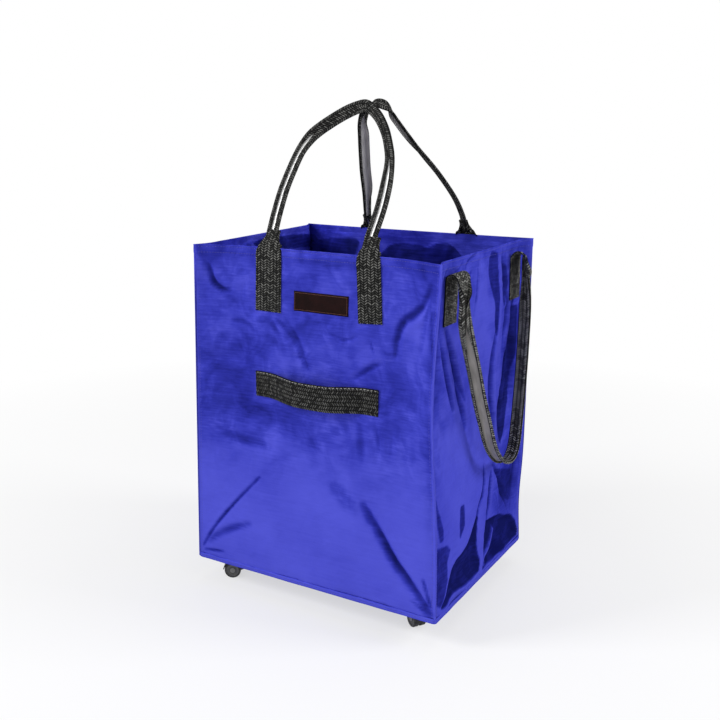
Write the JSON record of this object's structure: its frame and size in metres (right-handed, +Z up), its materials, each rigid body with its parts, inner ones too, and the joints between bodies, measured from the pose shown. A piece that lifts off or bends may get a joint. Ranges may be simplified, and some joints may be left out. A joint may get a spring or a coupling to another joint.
{
  "type": "shopping trolley on wheels",
  "caption": "Soft rolling shopping tote: tall open box of metallic fabric on a rigid base with swivel casters, carry handles, grab straps and side pull straps.",
  "frame": {"origin": "on the floor, under the middle of the bag", "axes": "+Z up, +X along the width, the front panel faces -Y"},
  "size_m": [0.4616, 0.3206, 0.7464],
  "materials": {
    "laminated_fabric": "metallic laminated woven fabric",
    "webbing": "black twill webbing with a grey lining",
    "patch": "dark bare patch",
    "base_board": "moulded board",
    "wheel": "moulded wheel",
    "caster_housing": "moulded housing",
    "steel": "zinc-plated steel"
  },
  "bodies": {
    "bag": {"back_grab_strap": "webbing", "back_handle_tab_left": "webbing", "back_handle_tab_right": "webbing", "back_left_caster_plate": "steel", "back_left_kingpin": "steel", "back_left_thrust_washer": "steel", "back_panel": "laminated_fabric", "back_right_caster_plate": "steel", "back_right_kingpin": "steel", "back_right_thrust_washer": "steel", "base_board": "base_board", "bottom_binding": "laminated_fabric", "bottom_panel": "laminated_fabric", "caster_nuts": "steel", "caster_screws": "steel", "front_grab_strap": "webbing", "front_handle_tab_left": "webbing", "front_handle_tab_right": "webbing", "front_left_caster_plate": "steel", "front_left_kingpin": "steel", "front_left_thrust_washer": "steel", "front_panel": "laminated_fabric", "front_patch": "patch", "front_right_caster_plate": "steel", "front_right_kingpin": "steel", "front_right_thrust_washer": "steel", "left_panel": "laminated_fabric", "left_pull_tab_back": "webbing", "left_pull_tab_front": "webbing", "right_panel": "laminated_fabric", "right_pull_tab_back": "webbing", "right_pull_tab_front": "webbing"},
    "back_handle_loop": {"back_handle": "webbing"},
    "back_left_swivel": {"back_left_axle": "steel", "back_left_swivel_housing": "caster_housing"},
    "back_left_roller_a": {"back_left_wheel_a": "wheel"},
    "back_left_roller_b": {"back_left_wheel_b": "wheel"},
    "back_right_swivel": {"back_right_axle": "steel", "back_right_swivel_housing": "caster_housing"},
    "back_right_roller_a": {"back_right_wheel_a": "wheel"},
    "back_right_roller_b": {"back_right_wheel_b": "wheel"},
    "front_handle_loop": {"front_handle": "webbing"},
    "front_left_swivel": {"front_left_axle": "steel", "front_left_swivel_housing": "caster_housing"},
    "front_left_roller_a": {"front_left_wheel_a": "wheel"},
    "front_left_roller_b": {"front_left_wheel_b": "wheel"},
    "front_right_swivel": {"front_right_axle": "steel", "front_right_swivel_housing": "caster_housing"},
    "front_right_roller_a": {"front_right_wheel_a": "wheel"},
    "front_right_roller_b": {"front_right_wheel_b": "wheel"},
    "left_pull_loop": {"left_pull_strap": "webbing"},
    "right_pull_loop": {"right_pull_strap": "webbing"}
  },
  "joints": [
    {"name": "front_handle_fold", "type": "hinge", "parent": "bag", "child": "front_handle_loop", "pos_m": [0, -0.1361, 0.5411], "axis": [1, 0, 0], "range_deg": [0, 198]},
    {"name": "back_handle_fold", "type": "hinge", "parent": "bag", "child": "back_handle_loop", "pos_m": [0, 0.15614, 0.54102], "axis": [-1, 0, 0], "range_deg": [0, 198]},
    {"name": "right_pull_swing", "type": "hinge", "parent": "bag", "child": "right_pull_loop", "pos_m": [0.20452, 0, 0.51419], "axis": [0, -1, 0], "range_deg": [0, 135]},
    {"name": "left_pull_swing", "type": "hinge", "parent": "bag", "child": "left_pull_loop", "pos_m": [-0.20452, 0, 0.51419], "axis": [0, 1, 0], "range_deg": [0, 135]},
    {"name": "front_left_swivel_turn", "type": "hinge", "parent": "bag", "child": "front_left_swivel", "pos_m": [-0.163, -0.12, 0.038], "axis": [0, 0, 1], "continuous": true},
    {"name": "front_left_roller_a_spin", "type": "hinge", "parent": "front_left_swivel", "child": "front_left_roller_a", "pos_m": [-0.17253, -0.1255, 0.013], "axis": [0.5, -0.866, 0], "continuous": true},
    {"name": "front_left_roller_b_spin", "type": "hinge", "parent": "front_left_swivel", "child": "front_left_roller_b", "pos_m": [-0.17253, -0.1255, 0.013], "axis": [0.5, -0.866, 0], "continuous": true},
    {"name": "front_right_swivel_turn", "type": "hinge", "parent": "bag", "child": "front_right_swivel", "pos_m": [0.163, -0.12, 0.038], "axis": [0, 0, 1], "continuous": true},
    {"name": "front_right_roller_a_spin", "type": "hinge", "parent": "front_right_swivel", "child": "front_right_roller_a", "pos_m": [0.15399, -0.11369, 0.013], "axis": [-0.5736, -0.8192, 0], "continuous": true},
    {"name": "front_right_roller_b_spin", "type": "hinge", "parent": "front_right_swivel", "child": "front_right_roller_b", "pos_m": [0.15399, -0.11369, 0.013], "axis": [-0.5736, -0.8192, 0], "continuous": true},
    {"name": "back_left_swivel_turn", "type": "hinge", "parent": "bag", "child": "back_left_swivel", "pos_m": [-0.163, 0.12, 0.038], "axis": [0, 0, 1], "continuous": true},
    {"name": "back_left_roller_a_spin", "type": "hinge", "parent": "back_left_swivel", "child": "back_left_roller_a", "pos_m": [-0.16453, 0.13089, 0.013], "axis": [-0.9903, -0.1392, 0], "continuous": true},
    {"name": "back_left_roller_b_spin", "type": "hinge", "parent": "back_left_swivel", "child": "back_left_roller_b", "pos_m": [-0.16453, 0.13089, 0.013], "axis": [-0.9903, -0.1392, 0], "continuous": true},
    {"name": "back_right_swivel_turn", "type": "hinge", "parent": "bag", "child": "back_right_swivel", "pos_m": [0.163, 0.12, 0.038], "axis": [0, 0, 1], "continuous": true},
    {"name": "back_right_roller_a_spin", "type": "hinge", "parent": "back_right_swivel", "child": "back_right_roller_a", "pos_m": [0.16566, 0.13067, 0.013], "axis": [-0.9703, 0.2419, 0], "continuous": true},
    {"name": "back_right_roller_b_spin", "type": "hinge", "parent": "back_right_swivel", "child": "back_right_roller_b", "pos_m": [0.16566, 0.13067, 0.013], "axis": [-0.9703, 0.2419, 0], "continuous": true}
  ]
}
